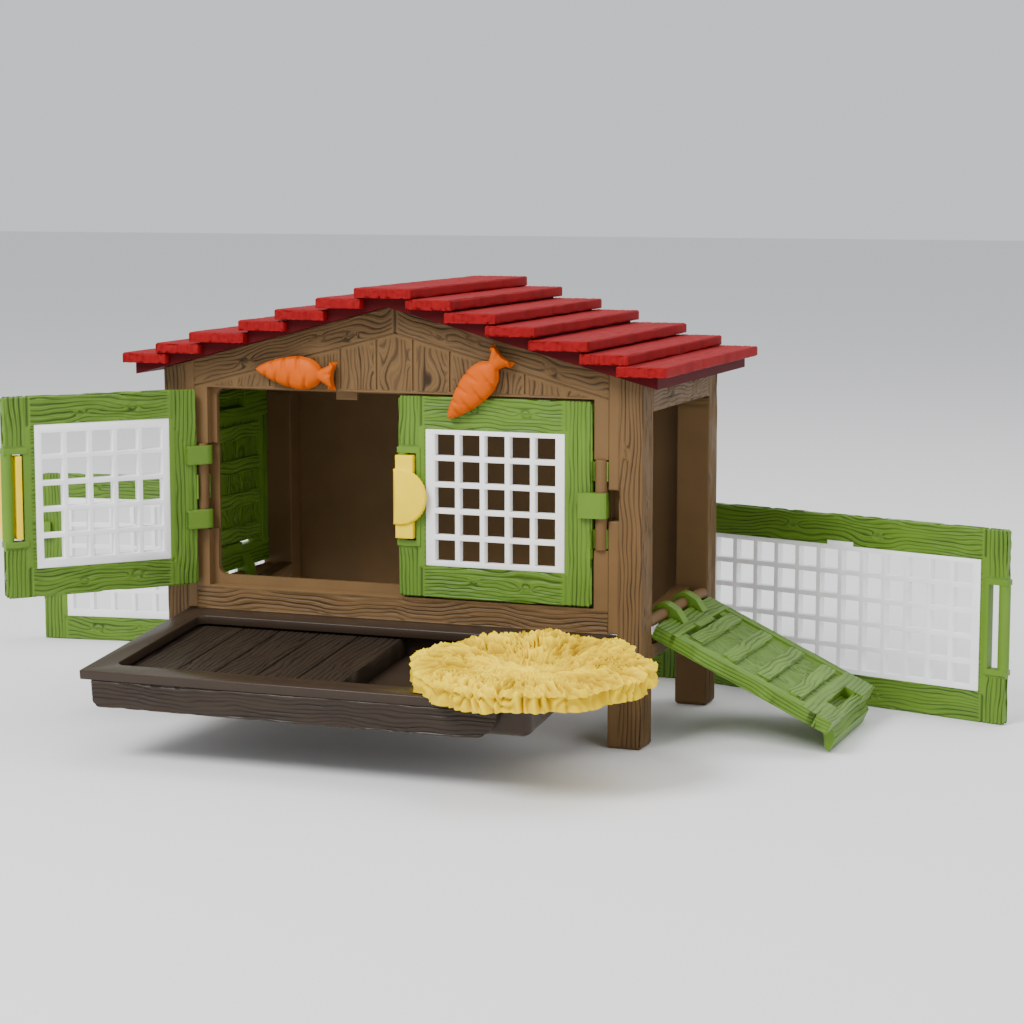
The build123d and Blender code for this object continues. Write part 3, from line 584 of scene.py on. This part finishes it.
def panel_field(length, seed):
    """Two upright stiles with grain along v and two rails with grain along u."""
    seam = GRID_MARGIN - 0.2
    far_seam = length - FREE_STILE

    def field(p, n):
        u, v, w = p
        if abs(n.z) < 0.5:
            inside = abs(v) < 24 and GRID_MARGIN - 1 < u < length - GRID_MARGIN + 6
            on_end = u < 4 or u > length - 1
            if inside or (on_end and abs(v) < 17):
                return PLAIN
            edge = 0.45 + 0.9 * noisy(u * 0.09, v * 0.09, seed)
            edge += 0.5 * noisy(u * 0.3, v * 0.3, seed)
            return wear_and_shade(max(0.0, min(1.0, edge)), 0.1)
        if abs(v) < 16 and (u > length - 8 or (u < 7.2 and abs(w) > 1.7)):
            return PLAIN
        joint = 0.0
        if abs(v) >= 22:
            joint = max(groove(u - seam, SEAM_HALF_W), groove(u - far_seam, SEAM_HALF_W))
        keep = fade(u - seam) * fade(u - far_seam)
        if u < seam or u > far_seam:
            grain = wood(v, u, seed + (u > 30) * 3, 1.4, 0.45)
        else:
            knots = [
                (length * 0.36, (27 if v > 0 else -27), 1.0),
                (length * 0.62, (26 if v > 0 else -28), 0.8),
            ]
            grain = wood(u, v, seed + 11 + (v > 0), 1.3, 0.95, knots)
        return grained(grain, keep=keep, dark=joint)

    return field


for index, (word, (local, kind)) in enumerate(PANELS.items()):
    field = panel_field(ROD_FROM_HINGE[kind] + PANEL_END, 200 + 20 * index)
    carved(f"{word}_frame", local, (0.7, 0.7, None), field, 0.25)
    softened(f"{word}_grid", 0.2, 2)

# ================= latches and carrots =================

THUMB_FLOOR = 3.5
THUMB_R = 9.0
THUMB_EDGE_U = 2.2
THUMB_DOME = 0.55
THUMB_HOLLOW = 0.7


def thumb_shape(rod_u):
    """Domes the thumb plate and hollows its straight edge a little."""

    def place(p):
        u, v, w = p
        if w > THUMB_FLOOR and abs(v) < THUMB_R:
            away = hypot(u - rod_u - THUMB_EDGE_U, v) / THUMB_R
            w -= THUMB_DOME * away**2
            hollow = THUMB_HOLLOW * (1 - (v / THUMB_R) ** 2)
            u -= hollow * soft(u - rod_u, 0.2, THUMB_EDGE_U)
        return Vector((u, v, w))

    return place


CARROT_EDGE = 0.32
LEAF_ROUND = 2.0
LEAF_START = 6.5
CREASE_DEPTH = 0.85
CREASE_PINCH = 0.09
CREASE_SLANT = 0.22
CREASE_HALF_W = 0.7
CARROT_WIDTHS = [
    (-12.0, 4.6), (-10.9, 4.5), (-8.2, 3.2), (-5.6, 1.9), (-4.2, 3.2), (-2.4, 4.5), (0, 5.1),
    (2.2, 5.2), (5.2, 4.8), (8.6, 4.1), (11.4, 3.1), (13.8, 2.2), (15.6, 1.3), (16.7, 0.3),
]
CARROT_CUTS = [(-1.6, 1), (1.2, -1), (3.8, 1), (6.2, -1), (8.8, 1), (10.8, -1), (12.9, 1)]


def carrot_half_width(s):
    """The carrot's half width at a distance s from its pin."""
    for (s0, h0), (s1, h1) in zip(CARROT_WIDTHS, CARROT_WIDTHS[1:]):
        if s <= s1:
            return h0 + (h1 - h0) * max(0.0, (s - s0) / (s1 - s0))
    return CARROT_WIDTHS[-1][1]


def carrot_shape(p):
    """Domes the flat carrot and cuts slanting creases from its two sides."""
    s, v, w = p
    if w < 0.05:
        return p
    half = carrot_half_width(s)
    side = min(1.0, abs(v) / half)
    thick = soft(half, 0.6, 4.4)
    dome = CARROT_EDGE + (1 - CARROT_EDGE) * (1 - side**2) ** 0.5 * (0.45 + 0.55 * thick)
    crease = 0.0
    for at, turn in CARROT_CUTS:
        reach = soft(turn * v / half, -0.35, 0.5)
        crease = max(crease, reach * groove(s - at - CREASE_SLANT * turn * v, CREASE_HALF_W))
    if s < -LEAF_START:
        vein = groove(v - 0.25 * (s + LEAF_START), 0.9)
        crease = 0.7 * vein * soft(-s, LEAF_START, LEAF_START + 2)
    s += LEAF_ROUND * soft(abs(v), 2.9, 4.6) * soft(-s, 7.5, 9.5)
    sunk = CREASE_DEPTH * crease * min(1.0, w)
    return Vector((s, v * (1 - CREASE_PINCH * crease), w * dome - sunk))


def carrot_local(word):
    """The carrot's frame: x towards its tip, z out of the wall."""
    pin = joint_mm(f"carrot_{word}_turn")
    dip = radians(CARROT_DIP[word])
    return Local((pin.x, CARROT_BACK_Y, pin.z), (-cos(dip), 0, -sin(dip)), (0, -1, 0))


for word in ("left", "right"):
    shaped(
        f"latch_{word}", PANELS[f"door_{word}"][0], (0.8, 0.8, None),
        thumb_shape(ROD_FROM_HINGE["short"]), 0.35,
    )
    shaped(f"carrot_{word}", carrot_local(word), (0.45, 0.45, 0.9), carrot_shape, 0.25)

# ================= ramps =================


RAMP_SEED = 300
RAMP_KNOTS = [(20, 6, 1.8), (31, -8, 2.0), (43, 5, 1.8), (52, -6, 1.5)]


def ramp_field(p, n):
    """A border of plain boards round a knotty middle, and grain on the long sides."""
    u, v, w = p
    if abs(n.y) > 0.6 and abs(v) > RAMP_SIDE_V:
        return grained(wood(u, w, RAMP_SEED + 4, 1.2, 0.5), deep=0.25)
    if n.z < 0.5 or (u < RAMP_HOOK[0] and w > RAMP_HOOK[1]):
        return PLAIN
    ends = fade(u - RAMP_HEAD_U) * fade(u - RAMP_FOOT_U)
    sides = fade(abs(v) - RAMP_BORDER_V)
    if u < RAMP_HEAD_U or u > RAMP_FOOT_U:
        return grained(wood(v, u, RAMP_SEED, 1.4, 0.5), keep=ends)
    if abs(v) > RAMP_BORDER_V:
        return grained(wood(u, v, RAMP_SEED + 1, 1.4, 0.3), keep=sides)
    return grained(wood(u, v, RAMP_SEED + 2, 1.9, 2.0, RAMP_KNOTS), keep=ends * sides)


def cleat_field(p, n):
    """Grain across the ramp and gnawed long edges."""
    u, v, w = p
    if n.z > 0.5:
        return grained(wood(v, u, 340 + floor(u / 11), 1.5, 0.9), deep=0.3)
    if n.z < -0.5:
        return PLAIN
    gnaw = 0.5 + 1.2 * noisy(u * 0.3, v * 0.16, 350) + 0.5 * noisy(u, v * 0.6, 351)
    return wear_and_shade(max(0.0, min(1.1, gnaw)), 0.1)


for word, local in RAMPS.items():
    carved(f"ramp_board_{word}", local, (0.7, 0.7, None), ramp_field, 0.3)
    carved(f"ramp_cleats_{word}", local, (0.6, 0.8, None), cleat_field, 0.25)

# ================= tray =================


def front_board_field(p, n):
    """Level grain, and a lower edge that waves."""
    x, y, z = p
    if n.y < -0.5:
        return grained(wood(x, z, 400, 1.3, 0.7), deep=0.35)
    if n.z < -0.5:
        return wear_and_shade(max(0.0, 0.4 + 0.7 * noisy(x * 0.05, 0, 402)), 0.0)
    return PLAIN


def deck_field(p, n):
    """Grain along each plank of the deck's top."""
    x, y, z = p
    if n.z > 0.5:
        return grained(wood(y, x, 410 + floor(x / DECK_PLANK), 1.9, 0.8), deep=0.25)
    return PLAIN


carved("tray_front_board", TRAY, (0.9, None, 0.5), front_board_field, 0.4)
carved("tray_deck", TRAY, (0.7, 1.5, None), deck_field, 0.2)
softened("tray_basin", 0.3, 2)

# ================= straw =================

STRAW_MID = (64.0, -52.0)
STRAW_HALF = (37.4, 32.7)
STRAW_W = (0.35, 8.0)
STRAW_SIDES = [
    (0.0, 3.6), (0.25, 4.0), (0.5, 6.2), (0.68, 7.8), (0.86, 7.6), (0.95, 7.1), (1.0, 6.0),
]
STRAW_PLEATS = 44
STRAW_AROUND = 640
STRAW_RINGS = 44
STRAW_SKIRT = 8
STRAW_FLAT = (32, 33)
STRAW_DEEP = {"middle": 2.6, "pleat": 3.0, "tangle": 1.1, "lump": 1.4}
STRAW_LIFT = 0.6
STRAW_MIN_W = 1.2


def straw_height(r):
    """Height of the straw's top at a share r of the way to its edge."""
    for (r0, h0), (r1, h1) in zip(STRAW_SIDES, STRAW_SIDES[1:]):
        if r <= r1:
            return h0 + (h1 - h0) * soft(r, r0, r1)
    return STRAW_SIDES[-1][1]


def straw_pleat(a, r):
    """Triangle ridges running out from the middle: 1 on a strand, 0 between two strands."""
    around = STRAW_PLEATS * a / (2 * pi)
    around += 3.2 * noisy(2.2 * cos(a), 2.2 * sin(a), 3 * r)
    around += 1.6 * noisy(7 * cos(a), 7 * sin(a), 4 * r)
    off = around % 1.0
    size = 0.6 + 0.9 * noisy(floor(around) % STRAW_PLEATS * 0.37, 1.7, 9.1)
    return (1 - abs(2 * off - 1)) ** 0.8 * min(1.0, max(0.15, size + 0.2))


def straw_tangle(x, y):
    """Strands lying over each other in a few directions."""
    best = -1.0
    for index in range(5):
        a = index * 0.71 + 0.3
        along, across = x * cos(a) + y * sin(a), y * cos(a) - x * sin(a)
        best = max(best, noisy(along * 0.10, across * 0.95, 20.0 + index) * 1.6)
    return max(-0.5, min(1.0, best))


def straw_edge(a):
    """Share of the full reach of the ragged outline at angle a."""
    broad = 0.07 * noisy(1.6 * cos(a), 1.6 * sin(a), 4.0)
    ragged = 0.09 * noisy(5.5 * cos(a), 5.5 * sin(a), 5.0)
    return min(1.0, 0.93 + broad + ragged + 0.05 * straw_pleat(a, 1.0))


def make_straw():
    """The mat as one closed mesh: rings over the top, a pleated skirt and a flat underside, with painted
    shade in its dips and between its pleats.
    """
    sides = STRAW_AROUND // int(STEP_SCALE)
    rings = STRAW_RINGS // int(STEP_SCALE)
    reach = [straw_edge(2 * pi * i / sides) for i in range(sides)]

    def point(i, r, w):
        a = 2 * pi * i / sides
        x = STRAW_MID[0] + STRAW_HALF[0] * reach[i] * r * cos(a)
        y = STRAW_MID[1] + STRAW_HALF[1] * reach[i] * r * sin(a)
        return TRAY.out((x, y, w)) * MM

    points = [point(0, 0, straw_height(0))]
    dark = [0.0]
    for k in range(1, rings + 1):
        r = k / rings
        for i in range(sides):
            a = 2 * pi * i / sides
            pleat = straw_pleat(a, r)
            outer = soft(r, 0.35, 0.62)
            x, y = STRAW_FLAT[0] * r * cos(a), STRAW_FLAT[1] * r * sin(a)
            tangle = straw_tangle(x, y)
            low = (1 - outer) * STRAW_DEEP["middle"] * (1 - tangle) * soft(r, 0.0, 0.12)
            low += outer * STRAW_DEEP["pleat"] * (1 - pleat)
            low += outer * STRAW_DEEP["tangle"] * (1 - tangle)
            low -= STRAW_DEEP["lump"] * noisy(x * 0.07, y * 0.07, 8.0)
            low *= 1 - 0.35 * soft(r, 0.85, 1.0)
            w = max(STRAW_MIN_W, straw_height(r) + STRAW_LIFT - low)
            points.append(point(i, r, min(STRAW_W[1], w)))
            # painted shade: the top is darker where it dips
            dark.append(min(1.0, max(0.0, 0.26 * low - 0.12)))
    for k in range(1, STRAW_SKIRT + 1):
        t = k / STRAW_SKIRT
        for i in range(sides):
            top = points[1 + (rings - 1) * sides + i]
            w = TRAY.into(top / MM)[2]
            a = 2 * pi * i / sides
            pleat = straw_pleat(a, 1.0 + 0.12 * t)
            swell = 1 + 0.02 * sin(pi * t) - 0.075 * (1 - pleat) * sin(pi * (0.25 + 0.75 * t))
            points.append(point(i, min(swell, 1 / reach[i]), w + (STRAW_W[0] - w) * t))
            # painted shade: the skirt's side is darker overall and darker still between the pleats
            dark.append(0.1 + 0.45 * (1 - pleat))
    points.append(point(0, 0, STRAW_W[0]))
    dark.append(0.0)
    faces = [(0, 1 + i, 1 + (i + 1) % sides) for i in range(sides)]
    rows = rings + STRAW_SKIRT
    for k in range(rows - 1):
        low, high = 1 + k * sides, 1 + (k + 1) * sides
        for i in range(sides):
            j = (i + 1) % sides
            faces.append((low + i, high + i, high + j, low + j))
    last, end = 1 + (rows - 1) * sides, len(points) - 1
    faces += [(last + (i + 1) % sides, last + i, end) for i in range(sides)]
    mesh = bpy.data.meshes.new("straw_mat_strands")
    mesh.from_pydata(points, [], faces)
    # on the straw the joint attribute holds only this painted shade
    joint = mesh.attributes.new("joint", "FLOAT", "POINT")
    joint.data.foreach_set("value", dark)
    finish_piece(mesh, "straw_mat", "straw_mat_strands", 80)


make_straw()

# ================= stage, light and camera =================

TARGET = Vector((0.02402, 0.040, 0.06648))
DISTANCE = 0.82999
AZIMUTH = radians(20.68)
ELEVATION = radians(7.6)
LENS = 89.38


def aim(thing, place, target):
    thing.location = place
    thing.rotation_euler = (Vector(target) - Vector(place)).to_track_quat("-Z", "Y").to_euler()


camera = bpy.data.objects.new("camera", bpy.data.cameras.new("camera"))
bpy.context.scene.collection.objects.link(camera)
camera.data.lens = LENS
camera.data.sensor_width = 36
camera.data.clip_start = 0.01
back = Vector((sin(AZIMUTH) * cos(ELEVATION), -cos(AZIMUTH) * cos(ELEVATION), sin(ELEVATION)))
aim(camera, TARGET + back * DISTANCE, TARGET)
bpy.context.scene.camera = camera


def lamp(name, place, target, size, watts, colour=(1, 1, 1)):
    light = bpy.data.lights.new(name, "AREA")
    light.energy = watts
    light.size = size
    light.color = colour
    piece = bpy.data.objects.new(name, light)
    bpy.context.scene.collection.objects.link(piece)
    aim(piece, place, target)


lamp("key", (-0.35, -0.75, 0.95), (0, 0, 0.05), 0.55, 18)
lamp("fill", (0.95, -0.55, 0.45), (0.05, 0, 0.06), 0.8, 3)
lamp("top", (0.25, 0.35, 1.0), (0, 0.02, 0.05), 0.8, 6)

world = bpy.data.worlds.new("studio")
world.use_nodes = True
world.node_tree.nodes["Background"].inputs["Color"].default_value = (0.95, 0.97, 1.0, 1)
world.node_tree.nodes["Background"].inputs["Strength"].default_value = 0.85
bpy.context.scene.world = world

floor_mesh = bpy.data.meshes.new("floor")
reach = 6.0
floor_mesh.from_pydata(
    [(-reach, -reach, 0), (reach, -reach, 0), (reach, reach, 0), (-reach, reach, 0)],
    [], [(0, 1, 2, 3)],
)
ground = bpy.data.objects.new("floor", floor_mesh)
bpy.context.scene.collection.objects.link(ground)
floor_paint = bpy.data.materials.new("floor_paint")
floor_paint.use_nodes = True
floor_paint.node_tree.nodes["Principled BSDF"].inputs["Base Color"].default_value = (0.78, 0.78, 0.78, 1)
floor_paint.node_tree.nodes["Principled BSDF"].inputs["Roughness"].default_value = 0.9
floor_mesh.materials.append(floor_paint)
